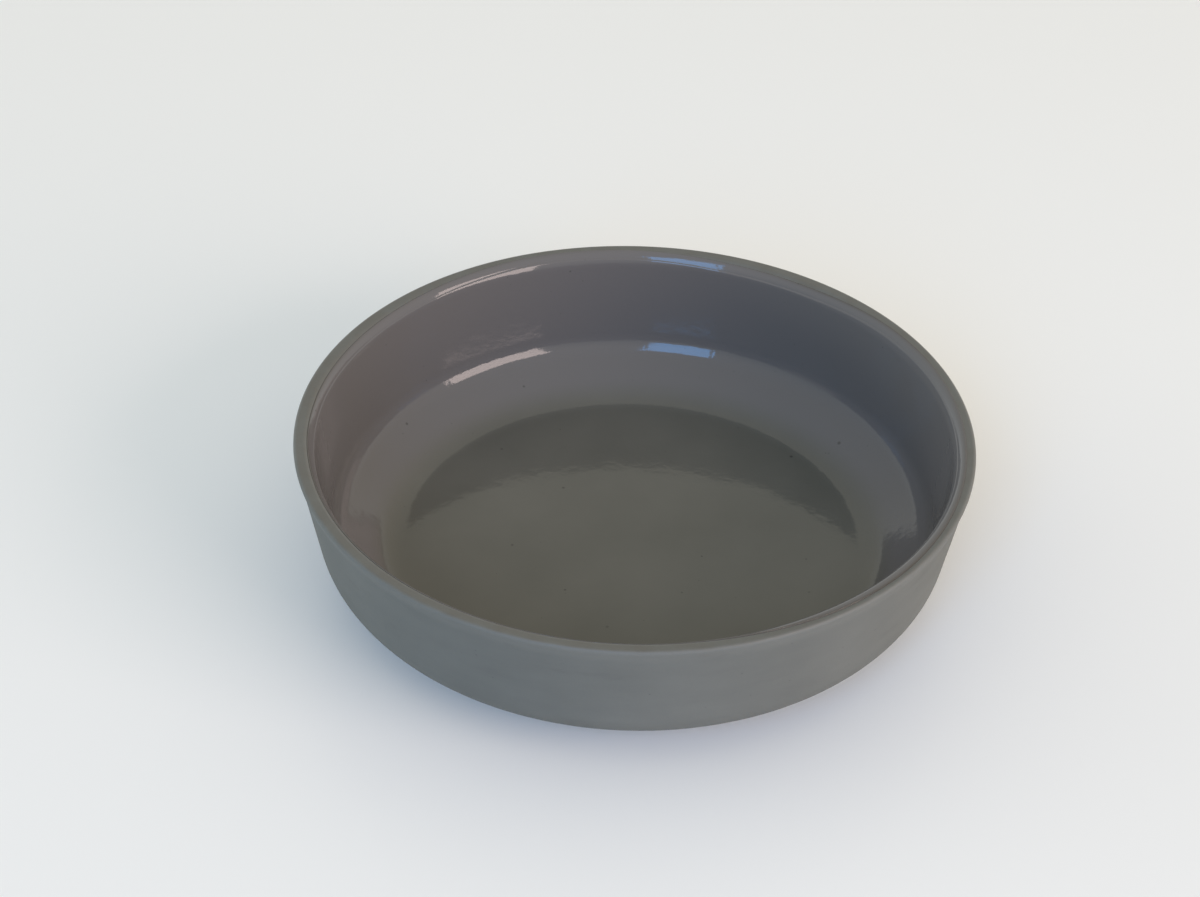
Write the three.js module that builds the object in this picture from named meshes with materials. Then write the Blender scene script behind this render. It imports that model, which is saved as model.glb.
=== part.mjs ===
// Deep plate: a cast clay body, bare outside and on the lip, with a glaze lining fused to its inside.
// Millimetres and degrees, Z up, the table at z = 0 and the plate's axis on Z.

import * as THREE from "three";

// Body
const RIM_DIAMETER = 200; // across the widest line of the lip
const HEIGHT = 50.5; // table to the top of the lip
const WALL = 3.35; // clay, square to the wall and to the shoulder
const WALL_LEAN = 9.8; // wall, out from upright
const FLOOR_HEIGHT = 5; // table to the clay floor
const SHOULDER_HEIGHT = 12.2; // clay floor to the line where shoulder and wall would meet
const SHOULDER_RISE = 36.3; // shoulder, up from level
const FLOOR_BEND = 13; // inside radius from floor to shoulder
const WALL_BEND = 11; // inside radius from shoulder to wall

// Lip
const FLARE_DROP = 4.2; // top of the lip down to where the outside begins to flare
const FLARE_LEAN = 19; // flare, out from upright
const FLARE_BLEND = 12; // radius from wall to flare
const LIP_OUTER_ROUND = 1;
const LIP_INNER_ROUND = 2.2;

// Foot ring
const FOOT_WIDTH = 6; // from the inner to the outer edge of the ring
const FOOT_RECESS = 1.6; // table to the underside inside the ring
const FOOT_DRAFT = 1.2; // how far the ring's inner face leans back over the recess
const FOOT_ROUND = 0.6;

// Glaze
const GLAZE = 0.4;
const GLAZE_BOND = 0.05; // clearance in place of the fused joint
const GLAZE_EDGE = 0.15; // thickness at the upper edge
const GLAZE_EDGE_DROP = 1.1; // top of the lip down to the upper edge
const GLAZE_FADE = 3; // height over which the lining thins to its edge

// Facets
const SECTORS = 72; // round the axis
const ARC_ERROR = 0.03; // most that a chord may stray from its arc
const RUN_SHARE = 0.48; // most of a straight run that one bend may take up

// Finish
const CLAY_COLOUR = 0x84827e;
const CLAY_ROUGHNESS = 0.85;
const GLAZE_COLOUR = 0x5b5953;
const GLAZE_ROUGHNESS = 0.12;

const radians = THREE.MathUtils.degToRad;

const turnedBy = (heading) => new THREE.Vector2(Math.cos(heading), Math.sin(heading));
const leftOf = (heading) => new THREE.Vector2(-Math.sin(heading), Math.cos(heading));

// A corner of the section: x is the distance from the axis, y the height.
function corner(x, y, round = 0) {
  return { point: new THREE.Vector2(x, y), round };
}

// Distance from the axis at a given height, on a line through a point that leans out from upright.
function leaning(point, lean, height) {
  return point.x + (height - point.y) * Math.tan(radians(lean));
}

function headingOf(from, to) {
  return Math.atan2(to.point.y - from.point.y, to.point.x - from.point.x);
}

// Samples along one bend, each with its point and its direction of travel.
function bend(before, here, after) {
  const heading = headingOf(before, here);
  const change = headingOf(here, after) - heading;
  const turn = Math.atan2(Math.sin(change), Math.cos(change));
  const side = Math.sign(turn);
  const spread = Math.tan(Math.abs(turn) / 2);
  const runs = [before.point.distanceTo(here.point), here.point.distanceTo(after.point)];
  const reach = Math.min(here.round * spread, RUN_SHARE * Math.min(...runs));
  const radius = reach / spread;
  const centre = here.point
    .clone()
    .addScaledVector(turnedBy(heading), -reach)
    .addScaledVector(leftOf(heading), side * radius);
  const step = 2 * Math.acos(1 - Math.min(ARC_ERROR / radius, 1));
  const count = Math.ceil(Math.abs(turn) / step);
  return Array.from({ length: count + 1 }, (_, i) => {
    const now = heading + (turn * i) / count;
    return { point: centre.clone().addScaledVector(leftOf(now), -side * radius), heading: now };
  });
}

// Follows a row of corners, with a tangent arc at each one between the two ends.
function follow(corners) {
  const last = corners.length - 1;
  const start = { point: corners[0].point, heading: headingOf(corners[0], corners[1]) };
  const end = { point: corners[last].point, heading: headingOf(corners[last - 1], corners[last]) };
  const bends = corners.slice(1, last).flatMap((here, i) => bend(corners[i], here, corners[i + 2]));
  return [start, ...bends, end];
}

// A rising face with one more sample, at a given height.
function sampledAt(face, height) {
  const next = face.findIndex((sample) => sample.point.y > height);
  const [low, high] = [face[next - 1], face[next]];
  const share = (height - low.point.y) / (high.point.y - low.point.y);
  const added = {
    point: low.point.clone().lerp(high.point, share).setY(height),
    heading: THREE.MathUtils.lerp(low.heading, high.heading, share),
  };
  return face.toSpliced(next, 0, added);
}

function raised(sample, distance) {
  return sample.point.clone().addScaledVector(leftOf(sample.heading), distance);
}

function turned(name, section, colour, roughness) {
  const material = new THREE.MeshStandardMaterial({ color: colour, roughness, metalness: 0 });
  const mesh = new THREE.Mesh(new THREE.LatheGeometry(section, SECTORS), material);
  mesh.name = name;
  return mesh;
}

// Lip and flare: the lip's rounding, not its corner, reaches the rim's diameter.
const lipTurn = radians(90 + FLARE_LEAN);
const rimCorner = RIM_DIAMETER / 2 + LIP_OUTER_ROUND * (Math.tan(lipTurn / 2) - 1);
const rim = corner(rimCorner, HEIGHT, LIP_OUTER_ROUND);
const flareHeight = HEIGHT - FLARE_DROP;
const flare = corner(leaning(rim.point, FLARE_LEAN, flareHeight), flareHeight, FLARE_BLEND);

// Inside: the wall's inner face is parallel to the outer one, and the shoulder runs from its foot to the floor.
const innerWall = new THREE.Vector2(flare.point.x - WALL / Math.cos(radians(WALL_LEAN)), flareHeight);
const lip = corner(leaning(innerWall, WALL_LEAN, HEIGHT), HEIGHT, LIP_INNER_ROUND);
const footOfWall = FLOOR_HEIGHT + SHOULDER_HEIGHT;
const innerCorner = corner(leaning(innerWall, WALL_LEAN, footOfWall), footOfWall, WALL_BEND);
const floorEdge = innerCorner.point.x - SHOULDER_HEIGHT / Math.tan(radians(SHOULDER_RISE));
const floorCorner = corner(floorEdge, FLOOR_HEIGHT, FLOOR_BEND);
const floorCentre = corner(0, FLOOR_HEIGHT);

// Outside: wall and shoulder lie one clay thickness from the inner faces, and meet beyond the inner corner.
const halfTurn = radians(90 - WALL_LEAN - SHOULDER_RISE) / 2;
const outward = leftOf(radians(SHOULDER_RISE) + halfTurn).negate();
const outerPoint = innerCorner.point.clone().addScaledVector(outward, WALL / Math.cos(halfTurn));
const outerCorner = corner(outerPoint.x, outerPoint.y, WALL_BEND + WALL);

// Foot: the underside of the shoulder runs down to the table, and the ring lies inside that line.
const footEdge = outerPoint.x - outerPoint.y / Math.tan(radians(SHOULDER_RISE));
const footOuter = corner(footEdge, 0, FOOT_ROUND);
const footInner = corner(footEdge - FOOT_WIDTH, 0, FOOT_ROUND);
const recessEdge = corner(footInner.point.x - FOOT_DRAFT, FOOT_RECESS, FOOT_ROUND);
const recessCentre = corner(0, FOOT_RECESS);

const outside = [recessCentre, recessEdge, footInner, footOuter, outerCorner, flare];
const inside = [floorCentre, floorCorner, innerCorner, lip, rim];
const bodySection = follow([...outside, ...inside.toReversed()]).map((sample) => sample.point);

// The lining follows the inner face from the floor up to its edge on the lip's rounding, and thins there.
const edgeHeight = HEIGHT - GLAZE_EDGE_DROP;
const fadedFace = sampledAt(follow(inside), edgeHeight - GLAZE_FADE);
const glazedFace = sampledAt(fadedFace, edgeHeight).filter((sample) => sample.point.y <= edgeHeight);
const glazeUnder = glazedFace.map((sample) => raised(sample, GLAZE_BOND));
const glazeOver = glazedFace.map((sample) => {
  const fullness = Math.min((edgeHeight - sample.point.y) / GLAZE_FADE, 1);
  return raised(sample, GLAZE_BOND + THREE.MathUtils.lerp(GLAZE_EDGE, GLAZE, fullness));
});
const glazeSection = [...glazeUnder, ...glazeOver.toReversed()];

const plate = new THREE.Group();
plate.name = "deep_plate";
plate.add(
  turned("clay_body", bodySection, CLAY_COLOUR, CLAY_ROUGHNESS),
  turned("glaze_lining", glazeSection, GLAZE_COLOUR, GLAZE_ROUGHNESS),
);

// The sections are turned about Y, so the group tips that axis up to Z.
plate.rotation.x = Math.PI / 2;

export default plate;
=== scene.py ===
"""Deep plate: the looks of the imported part, laid out as an add-on and run as a script.

Each piece is a section of the plate carried round its axis. Metres, Z up, the table at z = 0.
"""

import math
from collections import namedtuple

import bpy
import numpy as np
from bpy.props import FloatProperty, FloatVectorProperty, PointerProperty
from mathutils import Matrix, Vector


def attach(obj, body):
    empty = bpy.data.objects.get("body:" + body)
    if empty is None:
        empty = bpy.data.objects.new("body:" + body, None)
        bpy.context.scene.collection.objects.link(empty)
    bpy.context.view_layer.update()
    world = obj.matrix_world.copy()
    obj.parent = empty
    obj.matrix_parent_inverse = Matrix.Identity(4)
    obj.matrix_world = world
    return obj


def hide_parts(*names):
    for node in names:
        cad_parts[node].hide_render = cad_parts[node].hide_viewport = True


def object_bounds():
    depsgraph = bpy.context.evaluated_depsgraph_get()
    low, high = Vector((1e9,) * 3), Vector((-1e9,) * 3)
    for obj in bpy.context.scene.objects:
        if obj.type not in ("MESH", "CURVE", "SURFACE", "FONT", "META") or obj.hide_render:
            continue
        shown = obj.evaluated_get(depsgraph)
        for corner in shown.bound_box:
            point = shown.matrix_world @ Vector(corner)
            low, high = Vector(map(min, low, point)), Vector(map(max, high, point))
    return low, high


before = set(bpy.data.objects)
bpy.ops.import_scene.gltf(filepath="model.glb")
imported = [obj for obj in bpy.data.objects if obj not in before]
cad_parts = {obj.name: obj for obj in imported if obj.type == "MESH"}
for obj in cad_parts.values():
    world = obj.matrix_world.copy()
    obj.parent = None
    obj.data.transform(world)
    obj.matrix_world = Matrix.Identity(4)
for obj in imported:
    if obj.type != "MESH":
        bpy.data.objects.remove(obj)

bl_info = {
    "name": "Deep plate",
    "version": (1, 0, 0),
    "blender": (4, 5, 0),
    "location": "3D View > Sidebar > Deep plate",
    "description": "Builds a deep plate from its clay body and its glaze lining, on a plain stage",
    "category": "Object",
}

CAD_LOW, CAD_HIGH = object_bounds()
MM = 0.001

# Fineness of the surfaces
COLUMNS = 360  # steps round the axis
CLAY_STEP = 3.0 * MM  # longest straight step along the body's section
GLAZE_STEP = 1.2 * MM  # longest straight step along the glaze's section, which ripples
RUN_STEPS = 8  # fewest steps along a straight run
TURN_STEP = math.radians(5)  # largest turn between two points of an arc
BEAD_POINTS = 8  # points over the bead that ends the glaze
UNDERSIDE_STRIDE = 4  # the glaze's hidden face takes one point in this many

# Unevenness of the surfaces: how many waves are added up, and the seed of their phases
Waves = namedtuple("Waves", "count seed")
LIP_DIPS = Waves(11, 3)
WALL_DRAWS = Waves(7, 5)
EDGE_FALLS = Waves(5, 1052)  # slow wander of the glaze's edge
EDGE_RIPPLES = Waves(24, 11)  # quick wander of the glaze's edge
EDGE_PATCHES = Waves(5, 1597)  # where the glaze ends in a dark line, and where it doesn't
GLAZE_RIPPLES = Waves(14, 17)
LONGEST_RIPPLE = 3.0  # longest ripple of the glaze, in lengths of the shortest
CALM_CENTRE = 4.0 * MM  # distance from the axis over which the ripples grow to their full height
EDGE_LINE_POWER = 8  # the higher, the closer the dark line keeps to the glaze's edge

# Patterns of the materials: a scale is repeats in a metre, and a size is a share of a repeat
CLAY_CLOUD = {"Scale": 35.0}
CLAY_STREAK = {"Scale": 45.0, "Detail": 4.0}
CLAY_SMUDGE = {"Scale": 60.0, "Detail": 5.0}
CLAY_GRAIN = {"Scale": 900.0}
CLAY_SPECKS = {"Scale": 260.0, "Size": 0.13}
LIP_BLOTCH = {"Scale": 160.0}
GLAZE_CLOUD = {"Scale": 24.0}
GLAZE_PEEL = {"Scale": 150.0}
LARGE_SPECKS = {"Scale": 105.0, "Size": 0.1}
SMALL_SPECKS = {"Scale": 260.0, "Size": 0.09}
LEVEL_SQUEEZE = (1.0, 1.0, 4.0)  # makes streaks and smudges four times as long as they are high
SCUFF_POWER = 8.0  # the higher, the fewer smudges show as scuffs
NOISE_LOW, NOISE_HIGH = 0.3, 0.7  # range that most of a noise texture lies in
FINE_RATIO = 3.0  # how many times finer the fine half of a grain is
GRAIN_DETAIL = 2.0
SPECK_CORE = 0.15  # share of a speck's size that has its full colour


def length(name, millimetres, description):
    """A size that the user may change, given in millimetres and kept in metres."""
    return FloatProperty(
        name=name,
        description=description,
        default=millimetres * MM,
        min=0.0,
        precision=5,
        unit="LENGTH",
    )


def angle(name, degrees, description):
    """An angle that the user may change, given in degrees and kept in radians."""
    return FloatProperty(
        name=name,
        description=description,
        default=math.radians(degrees),
        subtype="ANGLE",
    )


def colour(name, red, green, blue, description):
    """A colour that the user may change, as linear shares of red, green and blue."""
    return FloatVectorProperty(
        name=name,
        description=description,
        default=(red, green, blue),
        min=0.0,
        max=1.0,
        size=3,
        subtype="COLOR",
    )


def share(name, default, description):
    """A share between 0 and 1 that the user may change."""
    return FloatProperty(
        name=name,
        description=description,
        default=default,
        min=0.0,
        max=1.0,
        subtype="FACTOR",
    )


class PlateShape(bpy.types.PropertyGroup):
    """Sizes of the plate's section and of the small unevenness that its making leaves."""

    rim_diameter: length("Rim", (CAD_HIGH.x - CAD_LOW.x) / MM, "Across the widest line of the lip")
    height: length("Height", CAD_HIGH.z / MM, "From the table to the top of the lip")
    wall: length("Wall", 3.35, "Clay of the shoulder, square to its faces")
    wall_lean: angle("Wall lean", 9.8, "Outer face of the wall, out from upright")
    inner_lean: angle("Inner lean", 7.7, "Inner face of the wall, out from upright")
    floor_height: length("Floor height", 5.0, "From the table to the clay floor")
    floor_dish: length("Floor dish", 0.25, "How far the floor's centre sinks below its edge")
    shoulder_height: length("Shoulder height", 12.2, "Clay floor to where shoulder and wall would meet")
    shoulder_rise: angle("Shoulder rise", 36.3, "Shoulder, up from level")
    floor_bend: length("Floor bend", 13.0, "Inside radius from floor to shoulder")
    wall_bend: length("Wall bend", 11.0, "Inside radius from shoulder to wall")
    flare_drop: length("Flare drop", 4.2, "From the top of the lip to where the outside flares")
    flare_lean: angle("Flare lean", 19.0, "Flare, out from upright")
    flare_blend: length("Flare blend", 12.0, "Radius from wall to flare")
    lip_width: length("Lip width", 3.6, "From the rim's widest line to the lip's inner edge")
    lip_fall: length("Lip fall", 0.35, "How far the lip's inner edge lies below its top")
    lip_outer_round: length("Lip outer round", 1.0, "Radius of the lip's outer edge")
    lip_inner_round: length("Lip inner round", 2.0, "Radius of the lip's inner edge")
    bevel_drop: length("Bevel drop", 2.7, "From the top of the lip to the foot of its inner bevel")
    bevel_lean: angle("Bevel lean", 39.0, "Inner bevel, out from upright")
    bevel_blend: length("Bevel blend", 8.0, "Radius from the wall to the bevel")
    foot_width: length("Foot width", 6.0, "From the inner to the outer edge of the foot ring")
    foot_recess: length("Foot recess", 1.6, "From the table to the underside inside the ring")
    foot_draft: length("Foot draft", 1.2, "How far the ring's inner face leans over the recess")
    foot_round: length("Foot round", 0.6, "Radius of the ring's edges")
    glaze: length("Glaze", 0.45, "From the clay to the glaze's surface")
    glaze_edge: length("Glaze edge", 0.2, "Thickness beside the bead at the upper edge")
    glaze_reach: length("Glaze reach", 1.5, "From the rim's widest line in to where the glaze runs farthest")
    glaze_fade: length("Glaze fade", 3.0, "Distance over which the glaze thins to its edge")
    glaze_bead: length("Glaze bead", 0.4, "Width of the rounded bead that ends the glaze")
    glaze_sink: length("Glaze sink", 0.02, "How far the glaze reaches into the clay it is fused to")
    lip_waver: length("Lip waver", 0.08, "Most that the lip dips on its way round")
    wall_waver: length("Wall waver", 0.06, "Most that the outside draws in on its way round")
    edge_wander: length("Edge wander", 2.8, "Most that the glaze's edge falls back on its way round")
    edge_ripple: length("Edge ripple", 0.3, "Small unevenness of the glaze's edge")
    ripple: length("Ripple", 0.01, "Height of the slow waves in the glaze's surface")
    ripple_reach: length("Ripple reach", 8.0, "Length of the shortest of those waves")


class PlateFinish(bpy.types.PropertyGroup):
    """Colours and roughness of the clay and of the glaze, and how far each mark covers what is under it."""

    clay_pale: colour("Clay, pale", 0.143, 0.151, 0.140, "Paler clouds of the bare clay")
    clay_deep: colour("Clay, deep", 0.104, 0.111, 0.103, "Deeper clouds of the bare clay")
    # The flare under the lip takes a paler colour than the rest of the clay.
    clay_flare: colour("Clay flare", 0.150, 0.157, 0.147, "Flare under the lip, where it was sponged smooth")
    clay_lip: colour("Clay lip", 0.109, 0.107, 0.094, "Clay on top of the lip, where it was wiped")
    clay_speck: colour("Clay specks", 0.055, 0.053, 0.050, "Mineral specks and scuffs in the clay")
    clay_foot: colour("Clay foot", 0.180, 0.176, 0.166, "Foot ring, where it was ground smooth")
    streak_share: share("Streaks", 0.35, "Share of level streaks in the clay's clouds")
    grain_share: share("Grain", 0.35, "Share of fine grain in the clay's tone")
    flare_cover: share("Flare cover", 0.5, "How far the flare's colour covers the clay")
    scuff_cover: share("Scuff cover", 0.12, "How far scuffs cover the clay")
    clay_speck_cover: share("Clay speck cover", 0.4, "How far specks cover the clay")
    lip_cover: share("Lip cover", 0.4, "Least that the wiped colour covers the lip, where it is blotched")
    foot_cover: share("Foot cover", 0.8, "How far the ground colour covers the foot ring")
    clay_smooth: share("Clay, smooth", 0.7, "Roughness in the dips of the clay's grain")
    clay_rough: share("Clay, rough", 0.86, "Roughness on the tops of the clay's grain")
    lip_rough: share("Lip, rough", 0.3, "Roughness of the lip, where it was wiped")
    clay_relief: share("Clay relief", 0.35, "Strength of the clay's grain as relief")
    clay_depth: length("Clay depth", 0.05, "Depth of the clay's grain at full strength")

    glaze_pale: colour("Glaze, pale", 0.117, 0.115, 0.099, "Paler clouds of the glaze where it lies thick")
    glaze_deep: colour("Glaze, deep", 0.096, 0.095, 0.081, "Deeper clouds of the glaze where it lies thick")
    # The wall's glaze colour is paler and more purple than the floor's: partly thinner glaze, partly painted
    # reflection of the surroundings and painted light on the wall.
    wall_glaze_and_reflection: colour("Glaze wall", 0.124, 0.119, 0.117, "The glaze on the wall, where it lies thinner")
    # A darker colour along the glaze's edge, laid on in patches round the rim.
    glaze_dark_line: colour("Glaze edge", 0.070, 0.063, 0.053, "Dark line where the glaze ends on the lip")
    glaze_speck: colour("Glaze specks", 0.026, 0.025, 0.022, "Iron specks in the glaze")
    small_speck_cover: share("Small speck cover", 0.5, "How far small specks cover the glaze")
    large_speck_cover: share("Large speck cover", 0.7, "How far large specks cover the glaze")
    glaze_smooth: share("Glaze, smooth", 0.06, "Least roughness of the glaze")
    glaze_rough: share("Glaze, rough", 0.1, "Most roughness of the glaze")
    glaze_relief: share("Glaze relief", 1.0, "Strength of the glaze's fine peel as relief")
    glaze_depth: length("Glaze depth", 0.03, "Depth of the glaze's fine peel at full strength")


class PlateStage(bpy.types.PropertyGroup):
    """Camera, table and fill light."""

    camera_place: FloatVectorProperty(
        name="Camera place",
        description="Where the camera stands",
        default=(0.0, -0.56186, 0.46341),
        subtype="TRANSLATION",
        unit="LENGTH",
    )
    camera_pan: angle("Camera pan", 1.028, "Turn to the left")
    camera_tilt: angle("Camera tilt", 36.905, "Turn below level")
    camera_roll: angle("Camera roll", 1.129, "Turn about the line of sight")
    camera_lens: FloatProperty(
        name="Camera lens",
        description="Focal length in millimetres",
        default=71.09,
        min=1.0,
        unit="CAMERA",
    )
    table_reach: length("Table reach", 5000.0, "From the plate's axis to the table's edges")
    table_colour: colour("Table", 0.855, 0.865, 0.85, "Pale table top")
    table_rough: share("Table, rough", 0.35, "Roughness of the table top")
    near_high: colour("Fill, near and high", 0.84, 0.81, 0.73, "Light from above, on the camera's side")
    near_low: colour("Fill, near and low", 0.36, 0.39, 0.36, "Light from low down, on the camera's side")
    far_high: colour("Fill, far and high", 0.60, 0.58, 0.50, "Light from above, on the far side")
    far_low: colour("Fill, far and low", 0.97, 1.00, 1.00, "Light from low down, on the far side")
    fill_height: share("Fill height", 0.5, "Sine of the elevation from which fill light counts as high")


# Sections

Corner = namedtuple("Corner", "place height round")
Section = namedtuple("Section", "outside inside floor_edge wall_foot flare_foot")


def leaning(corner, lean, height):
    """Distance from the axis at a height, on a line through a corner that leans out from upright."""
    return corner.place + (height - corner.height) * math.tan(lean)


def plate_section(shape):
    """Corners of the section, each a distance from the axis, a height and the radius that rounds it.

    The outside runs from the middle of the underside up to the flare. The inside runs from the middle of the
    floor up to the rim. The two shoulder faces are parallel, and the outer one runs out to meet the wall.
    """
    lip_turn = math.pi / 2 + shape.flare_lean
    rim_place = shape.rim_diameter / 2 + shape.lip_outer_round * (math.tan(lip_turn / 2) - 1)
    rim = Corner(rim_place, shape.height, shape.lip_outer_round)
    flare_height = shape.height - shape.flare_drop
    flare = Corner(leaning(rim, shape.flare_lean, flare_height), flare_height, shape.flare_blend)

    lip_height = shape.height - shape.lip_fall
    lip = Corner(shape.rim_diameter / 2 - shape.lip_width, lip_height, shape.lip_inner_round)
    bevel_height = shape.height - shape.bevel_drop
    bevel = Corner(leaning(lip, shape.bevel_lean, bevel_height), bevel_height, shape.bevel_blend)
    inner_height = shape.floor_height + shape.shoulder_height
    inner_corner = Corner(leaning(bevel, shape.inner_lean, inner_height), inner_height, shape.wall_bend)
    floor_edge = inner_corner.place - shape.shoulder_height / math.tan(shape.shoulder_rise)
    floor_corner = Corner(floor_edge, shape.floor_height, shape.floor_bend)
    floor_centre = Corner(0.0, shape.floor_height, 0.0)

    under_place = inner_corner.place + shape.wall * math.sin(shape.shoulder_rise)
    under_height = inner_corner.height - shape.wall * math.cos(shape.shoulder_rise)
    shoulder_run = 1 / math.tan(shape.shoulder_rise)
    to_wall = leaning(flare, shape.wall_lean, under_height) - under_place
    outer_rise = to_wall / (shoulder_run - math.tan(shape.wall_lean))
    outer_place = under_place + outer_rise * shoulder_run
    outer_height = under_height + outer_rise
    outer_corner = Corner(outer_place, outer_height, shape.wall_bend + shape.wall)

    foot_edge = outer_place - outer_height / math.tan(shape.shoulder_rise)
    foot_outer = Corner(foot_edge, 0.0, shape.foot_round)
    foot_inner = Corner(foot_edge - shape.foot_width, 0.0, shape.foot_round)
    recess_edge = Corner(foot_inner.place - shape.foot_draft, shape.foot_recess, shape.foot_round)
    recess_centre = Corner(0.0, shape.foot_recess, 0.0)

    outside = [recess_centre, recess_edge, foot_inner, foot_outer, outer_corner, flare]
    inside = [floor_centre, floor_corner, inner_corner, bevel, lip, rim]
    return Section(outside, inside, floor_edge, outer_height, flare_height)


def left_of(heading):
    """Unit vectors square to a heading, on its left."""
    return np.stack([-np.sin(heading), np.cos(heading)], axis=-1)


def section_line(corners, longest_step):
    """Points along a row of corners, and the heading at each.

    Straight runs join the corners. Each inner corner gives way to the arc that touches both its runs: the
    arc's points are its centre less its radius times the normal on the side that the line turns to. Two arcs
    that would meet on a run shrink alike until they just fit.
    """
    places = np.array([(corner.place, corner.height) for corner in corners])
    rounds = np.array([corner.round for corner in corners])
    runs = np.diff(places, axis=0)
    spans = np.linalg.norm(runs, axis=1)
    headings = np.arctan2(runs[:, 1], runs[:, 0])
    changes = np.diff(headings)
    bends = np.arctan2(np.sin(changes), np.cos(changes))
    spreads = np.tan(np.abs(bends) / 2)
    reaches = np.zeros(len(corners))
    reaches[1:-1] = rounds[1:-1] * spreads
    room = spans / np.maximum(reaches[:-1] + reaches[1:], spans)
    reaches[1:-1] *= np.minimum(room[:-1], room[1:])

    starts = places[:-1] + (reaches[:-1] / spans)[:, None] * runs
    ends = places[1:] - (reaches[1:] / spans)[:, None] * runs
    points = []
    travel = []
    for index, heading in enumerate(headings):
        needed = math.ceil(np.linalg.norm(ends[index] - starts[index]) / longest_step)
        count = max(needed, RUN_STEPS)
        points.append(np.linspace(starts[index], ends[index], count, endpoint=False))
        travel.append(np.full(count, heading))
        if index < len(bends):
            count = math.ceil(abs(bends[index]) / TURN_STEP)
            now = np.linspace(heading, heading + bends[index], count, endpoint=False)
            radius = math.copysign(reaches[index + 1] / spreads[index], bends[index])
            points.append(ends[index] + radius * (left_of(heading) - left_of(now)))
            travel.append(now)
    points.append(places[-1:])
    travel.append(headings[-1:])
    return np.concatenate(points), np.concatenate(travel)


def smooth_step(low, high, values):
    """Rises from 0 at low to 1 at high along 3t squared less 2t cubed."""
    t = np.clip((values - low) / (high - low), 0.0, 1.0)
    return t * t * (3.0 - 2.0 * t)


def round_waves(turns, waves):
    """A curve round the axis between 0 and 1.

    It adds up sines of 1 to a number of waves per turn, each divided by the root of its number.
    """
    counts = np.arange(1, waves.count + 1)[:, None]
    phases = np.random.default_rng(waves.seed).uniform(0.0, 2.0 * math.pi, (waves.count, 1))
    total = (np.sin(counts * turns + phases) / np.sqrt(counts)).sum(axis=0)
    return (total - total.min()) / np.ptp(total)


def slow_waves(points, reach, waves):
    """Plane waves in random directions, from one reach long to the longest, added up over points in space."""
    random = np.random.default_rng(waves.seed)
    directions = random.normal(size=(waves.count, 3))
    directions /= np.linalg.norm(directions, axis=1, keepdims=True)
    lengths = reach * random.uniform(1.0, LONGEST_RIPPLE, waves.count)
    phases = random.uniform(0.0, 2.0 * math.pi, waves.count)
    vectors = directions * (2.0 * math.pi / lengths)[:, None]
    return np.sin(points @ vectors.T + phases).sum(axis=-1) / math.sqrt(waves.count)


def dished(shape, floor_edge, radius):
    """How far the floor sinks at a distance from the axis: the dish times (1 - q squared) squared.

    Here q is the distance as a share of the floor's edge, and nothing beyond that edge sinks.
    """
    share_out = np.clip(radius / floor_edge, 0.0, 1.0)
    return shape.floor_dish * (1.0 - share_out**2) ** 2


# Meshes


def turn_angles():
    """Angles of the columns round the axis."""
    return np.arange(COLUMNS) * (2.0 * math.pi / COLUMNS)


def in_space(radius, height, turns):
    """Points of a turned surface: (radius cos turn, radius sin turn, height)."""
    return np.stack([radius * np.cos(turns), radius * np.sin(turns), height], axis=-1)


def turned_mesh(name, points, marks):
    """Closed smooth mesh from a grid of points, with a row for each point of a section.

    The columns are the turns round the axis. The first and last rows lie on the axis, and each becomes one
    point. Marks are values on the same grid.
    """
    rows, columns = points.shape[:2]
    body = 1 + np.arange((rows - 2) * columns).reshape(rows - 2, columns)
    beside = np.roll(body, -1, axis=1)
    tip = 1 + body.size
    quads = np.stack([body[:-1], beside[:-1], beside[1:], body[1:]], axis=-1).reshape(-1, 4)
    first_fan = np.stack([np.zeros_like(body[0]), beside[0], body[0]], axis=-1)
    last_fan = np.stack([body[-1], beside[-1], np.full_like(body[-1], tip)], axis=-1)
    corners = np.concatenate([first_fan.ravel(), quads.ravel(), last_fan.ravel()])
    sides = np.concatenate([np.full(columns, 3), np.full(len(quads), 4), np.full(columns, 3)])

    def listed(grid):
        """The grid's values row by row, with one value for each of the rows on the axis."""
        return np.concatenate([grid[0, :1], grid[1:-1].reshape(-1, *grid.shape[2:]), grid[-1, :1]])

    mesh = bpy.data.meshes.new(name)
    mesh.vertices.add(tip + 1)
    mesh.vertices.foreach_set("co", listed(points).astype(np.float32).ravel())
    mesh.loops.add(len(corners))
    mesh.loops.foreach_set("vertex_index", corners.astype(np.int32))
    mesh.polygons.add(len(sides))
    mesh.polygons.foreach_set("loop_start", (np.cumsum(sides) - sides).astype(np.int32))
    mesh.polygons.foreach_set("use_smooth", np.ones(len(sides), bool))
    mesh.update(calc_edges=True)
    if mesh.validate():
        raise RuntimeError(f"{name} has faulty faces")
    for mark, grid in marks.items():
        layer = mesh.attributes.new(mark, "FLOAT", "POINT")
        layer.data.foreach_set("value", listed(grid).astype(np.float32))
    return mesh


def put_in_scene(context, name, mesh, material):
    """An object at the origin that shows a mesh in one material."""
    mesh.materials.append(material)
    made = bpy.data.objects.new(name, mesh)
    context.scene.collection.objects.link(made)
    return made


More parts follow.
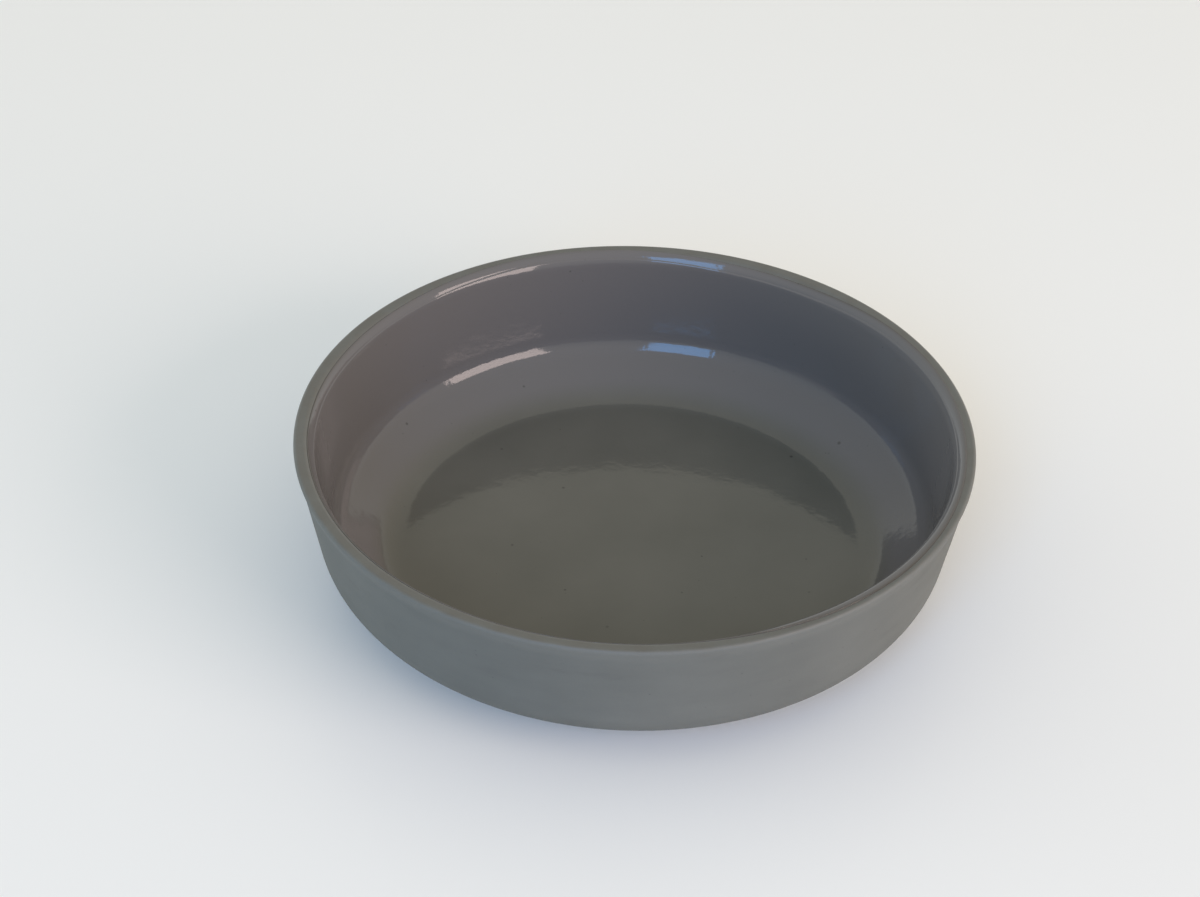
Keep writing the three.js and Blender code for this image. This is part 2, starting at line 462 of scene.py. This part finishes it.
def clay_body_mesh(shape):
    """The body's section carried round the axis, a little uneven on the lip and the outside.

    At each turn the lip dips by up to its waver, and the outside draws in by up to the wall's waver. The
    floor sinks by its dish.
    """
    section = plate_section(shape)
    points, _ = section_line(section.outside + section.inside[::-1], CLAY_STEP)
    radius = points[:, :1]
    height = points[:, 1:]
    turns = turn_angles()[None, :]
    along = np.arange(len(points))[:, None]
    top = along[np.argmax(height)]
    is_inside = along > top

    lip_part = smooth_step(section.flare_foot, shape.height, height)
    outer_part = smooth_step(shape.foot_round, section.wall_foot, height) * ~is_inside
    dips = shape.lip_waver * lip_part * round_waves(turns, LIP_DIPS)
    draws = shape.wall_waver * outer_part * round_waves(turns, WALL_DRAWS)
    sinks = dished(shape, section.floor_edge, radius) * is_inside
    grid = in_space(radius - draws, height - dips - sinks, turns)

    on_top = smooth_step(shape.lip_outer_round, 0.0, shape.height - height)
    fade = shape.flare_drop / 4
    flare_part = smooth_step(section.flare_foot - fade, section.flare_foot + fade, height)
    marks = {
        "lip": np.maximum(is_inside, on_top),
        "flare": flare_part * ~is_inside,
        "foot": smooth_step(shape.foot_round, 0.0, height),
    }
    everywhere = np.ones_like(turns)
    return turned_mesh("fired_clay_body", grid, {name: mark * everywhere for name, mark in marks.items()})


def glaze_lining_mesh(shape):
    """The glaze's section carried round the axis, with an edge that wanders and a surface that ripples.

    The section is measured along the clay's inner face. At each turn it runs out to the edge's own distance,
    and the surface stands off the clay by the thickness there. The thickness falls to the edge's over the
    fade, and the last part is a quarter round, so that the glaze ends in a bead.
    """
    section = plate_section(shape)
    points, travel = section_line(section.inside, GLAZE_STEP)
    distance = np.concatenate([[0.0], np.cumsum(np.linalg.norm(np.diff(points, axis=0), axis=1))])
    edge = np.interp(shape.rim_diameter / 2 - shape.glaze_reach, points[:, 0], distance)
    turns = turn_angles()[None, :]
    falls = shape.edge_wander * (1.0 - round_waves(turns, EDGE_FALLS))
    edges = edge - falls - shape.edge_ripple * round_waves(turns, EDGE_RIPPLES)

    face = distance[distance < edge - shape.glaze_bead]
    bead = edge - shape.glaze_bead * np.cos(np.linspace(0.0, math.pi / 2, BEAD_POINTS))
    over = np.concatenate([face, bead])[::-1, None]
    under = np.concatenate([face[::UNDERSIDE_STRIDE], bead[:1]])[:, None]

    def stood_off(along, lift):
        """Points lifted square off the clay at distances along its face, and the face's headings there."""
        place = along * edges / edge
        heading = np.interp(place, distance, travel)
        radius = np.interp(place, distance, points[:, 0]) - lift * np.sin(heading)
        height = np.interp(place, distance, points[:, 1]) + lift * np.cos(heading)
        sinks = dished(shape, section.floor_edge, radius)
        return in_space(radius, height - sinks, turns), heading

    to_edge = edge - over
    fullness = smooth_step(0.0, shape.glaze_fade, to_edge)
    thickness = shape.glaze_edge + (shape.glaze - shape.glaze_edge) * fullness
    bead_part = 1.0 - np.clip(to_edge / shape.glaze_bead, 0.0, 1.0)
    rounded = np.sqrt(1.0 - bead_part**2)
    surface, heading = stood_off(over, (thickness + shape.glaze_sink) * rounded - shape.glaze_sink)
    waves = shape.ripple * slow_waves(surface, shape.ripple_reach, GLAZE_RIPPLES)
    calm = fullness * smooth_step(0.0, CALM_CENTRE, over)
    outward = in_space(-np.sin(heading), np.cos(heading), turns)
    surface = surface + (waves * calm)[..., None] * outward
    hidden, _ = stood_off(under, -shape.glaze_sink)

    grid = np.concatenate([hidden, surface])
    edge_line = np.concatenate([np.ones_like(under), (1.0 - fullness) ** EDGE_LINE_POWER])
    ending = edge_line * round_waves(turns, EDGE_PATCHES)
    # The wall mark places the wall's glaze colour, with its painted reflection and light, from the floor up
    # to the middle of the shoulder.
    shoulder_middle = shape.floor_height + shape.shoulder_height / 2
    wall_part = smooth_step(shape.floor_height, shoulder_middle, grid[..., 2])
    return turned_mesh("fused_glaze_lining", grid, {"ending": ending, "wall": wall_part})


# Shader nodes


def add(tree, kind, inputs=None, **settings):
    """A node of a kind, with its settings made and its inputs linked or set."""
    made = tree.nodes.new(kind)
    for key, value in settings.items():
        setattr(made, key, value)
    for key, value in (inputs or {}).items():
        if isinstance(value, bpy.types.NodeSocket):
            tree.links.new(value, made.inputs[key])
        else:
            made.inputs[key].default_value = value
    return made


def calculate(tree, operation, first, second):
    """Two numbers put through a math operation, with the result kept between 0 and 1."""
    node = add(tree, "ShaderNodeMath", {0: first, 1: second}, operation=operation, use_clamp=True)
    return node.outputs[0]


def fitted(tree, value, new_low, new_high, low=0.0, high=1.0):
    """A number moved from the range between low and high into a new range, and kept there."""
    inputs = {"Value": value, "From Min": low, "From Max": high, "To Min": new_low, "To Max": new_high}
    return add(tree, "ShaderNodeMapRange", inputs).outputs[0]


# A mix node has sockets for each kind of value: 2 and 3 take numbers, and 6 and 7 take colours.


def part_way(tree, amount, first, second):
    """A number that goes from the first to the second as the amount goes from 0 to 1."""
    return add(tree, "ShaderNodeMix", {0: amount, 2: first, 3: second}).outputs[0]


def between(tree, amount, first, second):
    """A colour that goes from the first to the second as the amount goes from 0 to 1."""
    return add(tree, "ShaderNodeMix", {0: amount, 6: first, 7: second}, data_type="RGBA").outputs[2]


def solid(rgb):
    """A colour with full cover, as a colour socket holds it."""
    return (*rgb, 1.0)


def overlaid(tree, under, mask, cover, rgb):
    """A colour with another one laid over it, by a mask times how far it covers."""
    return between(tree, calculate(tree, "MULTIPLY", mask, cover), under, solid(rgb))


def mesh_mark(tree, name):
    """A mark that the mesh carries at its points."""
    return add(tree, "ShaderNodeAttribute", attribute_name=name).outputs["Fac"]


def give_relief(tree, shader, height, strength, depth):
    """Bends a shader's normal by a height between 0 and 1, which stands for a depth at full strength."""
    bump = add(tree, "ShaderNodeBump", {"Strength": strength, "Distance": depth, "Height": height})
    tree.links.new(bump.outputs[0], shader.inputs["Normal"])


def new_group(name, numbers, output):
    """An empty node group with a Vector input, number inputs with their defaults, and one number output."""
    group = bpy.data.node_groups.new(name, "ShaderNodeTree")
    group.interface.new_socket("Vector", in_out="INPUT", socket_type="NodeSocketVector")
    for key, default in numbers.items():
        socket = group.interface.new_socket(key, in_out="INPUT", socket_type="NodeSocketFloat")
        socket.default_value = default
    group.interface.new_socket(output, in_out="OUTPUT", socket_type="NodeSocketFloat")
    given = group.nodes.new("NodeGroupInput").outputs
    result = group.nodes.new("NodeGroupOutput").inputs[0]
    return group, given, result


def kiln_cloud(name):
    """Slow blotches of tone between 0 and 1, as firing leaves in clay and glaze."""
    group, given, result = new_group(name, {"Scale": 30.0, "Detail": 3.0}, "Tone")
    inputs = {"Vector": given["Vector"], "Scale": given["Scale"], "Detail": given["Detail"]}
    noise = add(group, "ShaderNodeTexNoise", inputs).outputs[0]
    group.links.new(fitted(group, noise, 0.0, 1.0, low=NOISE_LOW, high=NOISE_HIGH), result)
    return group


def fired_grain(name):
    """Fine grain between 0 and 1: a coarse noise and a finer noise, averaged."""
    group, given, result = new_group(name, {"Scale": 900.0}, "Grain")
    finer = add(group, "ShaderNodeMath", {0: given["Scale"], 1: FINE_RATIO}, operation="MULTIPLY").outputs[0]
    noises = {}
    for index, scale in enumerate((given["Scale"], finer)):
        inputs = {"Vector": given["Vector"], "Scale": scale, "Detail": GRAIN_DETAIL}
        noises[index] = add(group, "ShaderNodeTexNoise", inputs).outputs[0]
    total = add(group, "ShaderNodeMath", noises, operation="ADD").outputs[0]
    group.links.new(fitted(group, total, 0.0, 1.0, low=2 * NOISE_LOW, high=2 * NOISE_HIGH), result)
    return group


def mineral_specks(name):
    """Round specks, 1 inside and 0 outside, each round a cell's seed and of a size of its own."""
    group, given, result = new_group(name, {"Scale": 100.0, "Size": 0.1}, "Speck")
    cells = add(group, "ShaderNodeTexVoronoi", {"Vector": given["Vector"], "Scale": given["Scale"]})
    chance = add(group, "ShaderNodeSeparateColor", {0: cells.outputs["Color"]}).outputs[1]
    own_size = calculate(group, "MULTIPLY", given["Size"], chance)
    core = calculate(group, "MULTIPLY", own_size, SPECK_CORE)
    inputs = {"Value": cells.outputs["Distance"], "From Min": own_size, "From Max": core}
    speck = add(group, "ShaderNodeMapRange", inputs, interpolation_type="SMOOTHSTEP")
    group.links.new(speck.outputs[0], result)
    return group


def placed(tree, maker, vector, numbers):
    """The result of a node group with its own values. The group is built once, then found by its name."""
    group = bpy.data.node_groups.get(maker.__name__) or maker(maker.__name__)
    return add(tree, "ShaderNodeGroup", {"Vector": vector, **numbers}, node_tree=group).outputs[0]


# Materials


def new_material(name):
    """A material with its node tree and its Principled shader."""
    material = bpy.data.materials.new(name)
    material.use_nodes = True
    tree = material.node_tree
    return material, tree, tree.nodes["Principled BSDF"]


def bare_clay(finish):
    """Matt fired clay: clouds, level streaks and grain in its tone, scuffs and specks, and a wiped lip."""
    material, tree, shader = new_material("bare_clay")
    place = add(tree, "ShaderNodeTexCoord").outputs["Object"]
    level = add(tree, "ShaderNodeMapping", {"Vector": place, "Scale": LEVEL_SQUEEZE}).outputs[0]
    cloud = placed(tree, kiln_cloud, place, CLAY_CLOUD)
    streak = placed(tree, kiln_cloud, level, CLAY_STREAK)
    smudge = placed(tree, kiln_cloud, level, CLAY_SMUDGE)
    blotch = placed(tree, kiln_cloud, place, LIP_BLOTCH)
    grain = placed(tree, fired_grain, place, CLAY_GRAIN)
    speck = placed(tree, mineral_specks, place, CLAY_SPECKS)

    clouds = part_way(tree, finish.streak_share, cloud, streak)
    tone = part_way(tree, finish.grain_share, clouds, grain)
    clay = between(tree, tone, solid(finish.clay_deep), solid(finish.clay_pale))
    # A paler band of clay along the flare under the lip.
    flared = overlaid(tree, clay, mesh_mark(tree, "flare"), finish.flare_cover, finish.clay_flare)
    scuff = calculate(tree, "POWER", smudge, SCUFF_POWER)
    scuffed = overlaid(tree, flared, scuff, finish.scuff_cover, finish.clay_speck)
    specked = overlaid(tree, scuffed, speck, finish.clay_speck_cover, finish.clay_speck)
    lip = mesh_mark(tree, "lip")
    wiped = overlaid(tree, specked, lip, fitted(tree, blotch, 1.0, finish.lip_cover), finish.clay_lip)
    ground = overlaid(tree, wiped, mesh_mark(tree, "foot"), finish.foot_cover, finish.clay_foot)
    tree.links.new(ground, shader.inputs["Base Color"])

    matt = fitted(tree, grain, finish.clay_smooth, finish.clay_rough)
    tree.links.new(part_way(tree, lip, matt, finish.lip_rough), shader.inputs["Roughness"])
    give_relief(tree, shader, grain, finish.clay_relief, finish.clay_depth)
    return material


def dark_glaze(finish):
    """Glossy glaze: slow clouds of tone, large and small iron specks, and in places a dark edge."""
    material, tree, shader = new_material("dark_glaze")
    place = add(tree, "ShaderNodeTexCoord").outputs["Object"]
    cloud = placed(tree, kiln_cloud, place, GLAZE_CLOUD)
    large = placed(tree, mineral_specks, place, LARGE_SPECKS)
    small = placed(tree, mineral_specks, place, SMALL_SPECKS)
    peel = placed(tree, fired_grain, place, GLAZE_PEEL)

    pooled = between(tree, cloud, solid(finish.glaze_deep), solid(finish.glaze_pale))
    # On the shoulder and wall the glaze takes the wall colour: partly thinner glaze, partly painted
    # reflection and light.
    glaze = between(tree, mesh_mark(tree, "wall"), pooled, solid(finish.wall_glaze_and_reflection))
    dotted = overlaid(tree, glaze, small, finish.small_speck_cover, finish.glaze_speck)
    specked = overlaid(tree, dotted, large, finish.large_speck_cover, finish.glaze_speck)
    # The glaze's edge darkens where the ending mark is high, in patches round the rim.
    ended = between(tree, mesh_mark(tree, "ending"), specked, solid(finish.glaze_dark_line))
    tree.links.new(ended, shader.inputs["Base Color"])

    gloss = fitted(tree, peel, finish.glaze_smooth, finish.glaze_rough)
    tree.links.new(gloss, shader.inputs["Roughness"])
    give_relief(tree, shader, peel, finish.glaze_relief, finish.glaze_depth)
    return material


def pale_table(stage):
    """Pale table top with a little gloss."""
    material, _, shader = new_material("pale_table")
    shader.inputs["Base Color"].default_value = solid(stage.table_colour)
    shader.inputs["Roughness"].default_value = stage.table_rough
    return material


# Stage

SoftLight = namedtuple("SoftLight", "name azimuth elevation width height distance glow colour mirrored")

# Degrees and metres. The azimuth counts from the camera's side, positive to the right.
# A panel with a glow of 1 is as bright as plain white, and glossy surfaces show only the mirrored panels.
SOFT_LIGHTS = (
    SoftLight(
        name="cool_panel",
        azimuth=-17.0,
        elevation=31.0,
        width=1.24,
        height=1.80,
        distance=3.2,
        glow=4.5,
        colour=(0.15, 0.46, 1.0),
        mirrored=True,
    ),
    SoftLight(
        name="warm_panel",
        azimuth=56.0,
        elevation=18.0,
        width=2.16,
        height=1.80,
        distance=3.2,
        glow=4.8,
        colour=(1.0, 0.81, 0.76),
        mirrored=True,
    ),
    SoftLight(
        name="side_panel",
        azimuth=-100.0,
        elevation=5.5,
        width=2.40,
        height=0.62,
        distance=3.6,
        glow=6.6,
        colour=(0.94, 1.0, 0.98),
        mirrored=False,
    ),
)
AREA_WATTS = 4.0  # watts of an area lamp for one square metre at a glow of 1
LIGHT_TARGET = Vector((0.0, 0.0, 0.03))
SENSOR_WIDTH = 36.0  # millimetres


def add_soft_light(context, panel):
    """A rectangular lamp that faces the plate from an azimuth, an elevation and a distance."""
    azimuth = math.radians(panel.azimuth)
    elevation = math.radians(panel.elevation)
    level = math.cos(elevation)
    away = Vector((math.sin(azimuth) * level, -math.cos(azimuth) * level, math.sin(elevation)))
    lamp = bpy.data.lights.new(panel.name, "AREA")
    lamp.shape = "RECTANGLE"
    lamp.size = panel.width
    lamp.size_y = panel.height
    lamp.energy = AREA_WATTS * panel.glow * panel.width * panel.height
    lamp.color = panel.colour
    made = bpy.data.objects.new(panel.name, lamp)
    turn = away.to_track_quat("Z", "Y").to_matrix().to_4x4()
    made.matrix_world = Matrix.Translation(LIGHT_TARGET + away * panel.distance) @ turn
    made.visible_camera = False
    made.visible_glossy = panel.mirrored
    context.scene.collection.objects.link(made)


def add_fill_light(context, stage):
    """Light from all round, mixed from four colours by how near and how high it comes from."""
    world = bpy.data.worlds.new("fill_light")
    world.use_nodes = True
    tree = world.node_tree
    direction = add(tree, "ShaderNodeTexCoord").outputs["Generated"]
    parts = add(tree, "ShaderNodeSeparateXYZ", {0: direction}).outputs
    nearness = fitted(tree, parts["Y"], 0.0, 1.0, low=1.0, high=-1.0)
    height = fitted(tree, parts["Z"], 0.0, 1.0, high=stage.fill_height)
    low = between(tree, nearness, solid(stage.far_low), solid(stage.near_low))
    high = between(tree, nearness, solid(stage.far_high), solid(stage.near_high))
    tree.links.new(between(tree, height, low, high), tree.nodes["Background"].inputs["Color"])
    context.scene.world = world


def add_camera(context, stage):
    """The camera at its place, tilted below level, panned and rolled."""
    camera = bpy.data.cameras.new("camera")
    camera.sensor_fit = "HORIZONTAL"
    camera.sensor_width = SENSOR_WIDTH
    camera.lens = stage.camera_lens
    made = bpy.data.objects.new("camera", camera)
    pan = Matrix.Rotation(stage.camera_pan, 4, "Z")
    tilt = Matrix.Rotation(math.pi / 2 - stage.camera_tilt, 4, "X")
    roll = Matrix.Rotation(stage.camera_roll, 4, "Z")
    made.matrix_world = Matrix.Translation(stage.camera_place) @ pan @ tilt @ roll
    context.scene.collection.objects.link(made)
    context.scene.camera = made


def table_mesh(stage):
    """A square table top at z = 0, with the plate's axis through its middle."""
    half = stage.table_reach
    corners = [(-half, -half, 0.0), (half, -half, 0.0), (half, half, 0.0), (-half, half, 0.0)]
    mesh = bpy.data.meshes.new("table")
    mesh.from_pydata(corners, [], [(0, 1, 2, 3)])
    return mesh


# Add-on


class PLATE_OT_clay_body(bpy.types.Operator):
    """Build the clay body, bare outside, on the lip and underneath"""

    bl_idname = "deep_plate.clay_body"
    bl_label = "Clay body"

    def execute(self, context):
        mesh = clay_body_mesh(context.scene.plate_shape)
        body = put_in_scene(context, "fired_clay_body", mesh, bare_clay(context.scene.plate_finish))
        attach(body, "root")
        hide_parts("clay_body")
        return {"FINISHED"}


class PLATE_OT_glaze_lining(bpy.types.Operator):
    """Build the glaze lining that covers the inside"""

    bl_idname = "deep_plate.glaze_lining"
    bl_label = "Glaze lining"

    def execute(self, context):
        mesh = glaze_lining_mesh(context.scene.plate_shape)
        lining = put_in_scene(context, "fused_glaze_lining", mesh, dark_glaze(context.scene.plate_finish))
        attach(lining, "root")
        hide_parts("glaze_lining")
        return {"FINISHED"}


class PLATE_OT_stage(bpy.types.Operator):
    """Set up the table, the lights and the camera"""

    bl_idname = "deep_plate.stage"
    bl_label = "Stage"

    def execute(self, context):
        stage = context.scene.plate_stage
        context.scene.view_settings.view_transform = "Standard"
        add_camera(context, stage)
        for panel in SOFT_LIGHTS:
            add_soft_light(context, panel)
        add_fill_light(context, stage)
        table = put_in_scene(context, "table", table_mesh(stage), pale_table(stage))
        return {"FINISHED"}


class PLATE_PT_panel(bpy.types.Panel):
    """Sizes, colours and operators of the deep plate"""

    bl_idname = "PLATE_PT_panel"
    bl_label = "Deep plate"
    bl_space_type = "VIEW_3D"
    bl_region_type = "UI"
    bl_category = "Deep plate"

    def draw(self, context):
        """List the operators, and then every setting."""
        for operator in OPERATORS:
            self.layout.operator(operator.bl_idname)
        for key in SETTINGS:
            settings = getattr(context.scene, key)
            for name in settings.__annotations__:
                self.layout.prop(settings, name)


SETTINGS = {"plate_shape": PlateShape, "plate_finish": PlateFinish, "plate_stage": PlateStage}
OPERATORS = (PLATE_OT_stage, PLATE_OT_clay_body, PLATE_OT_glaze_lining)
CLASSES = (*SETTINGS.values(), *OPERATORS, PLATE_PT_panel)


def register():
    """Make the settings, the operators and the panel known to Blender."""
    for cls in CLASSES:
        bpy.utils.register_class(cls)
    for key, cls in SETTINGS.items():
        setattr(bpy.types.Scene, key, PointerProperty(type=cls))


def unregister():
    """Take back what register made known."""
    for key in SETTINGS:
        delattr(bpy.types.Scene, key)
    for cls in reversed(CLASSES):
        bpy.utils.unregister_class(cls)


def main():
    """Build the stage and both pieces."""
    register()
    bpy.ops.deep_plate.stage()
    bpy.ops.deep_plate.clay_body()
    bpy.ops.deep_plate.glaze_lining()


if __name__ == "__main__":
    main()
